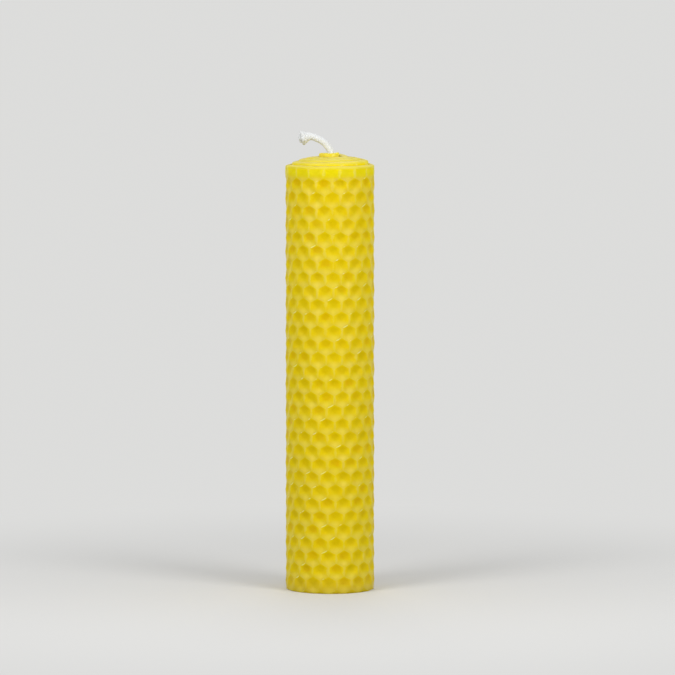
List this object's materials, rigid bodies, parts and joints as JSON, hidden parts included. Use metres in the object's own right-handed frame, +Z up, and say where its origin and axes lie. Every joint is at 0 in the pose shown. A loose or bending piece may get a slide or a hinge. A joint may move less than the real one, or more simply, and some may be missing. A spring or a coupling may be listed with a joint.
{
  "type": "rolled beeswax candle",
  "caption": "Upright candle of embossed honeycomb beeswax sheet rolled round a braided cotton wick, flat at the foot, with a bent wick stub that is frayed at its cut end.",
  "frame": {"origin": "middle of the foot, under the centre of the wax's outline, on the surface that the candle stands on", "axes": "+Z up along the candle, -Y towards the front of the picture, +X to the right of the picture; the wick's stub bends towards -X and the sheet's outer end is a seam at +Y"},
  "size_m": [0.0315, 0.0327, 0.1621],
  "materials": {
    "beeswax": "satin yellow beeswax, slightly translucent",
    "cotton": "off-white braided cotton"
  },
  "bodies": {
    "root": {"honeycomb_sheet": "beeswax", "wick": "cotton"}
  },
  "joints": []
}
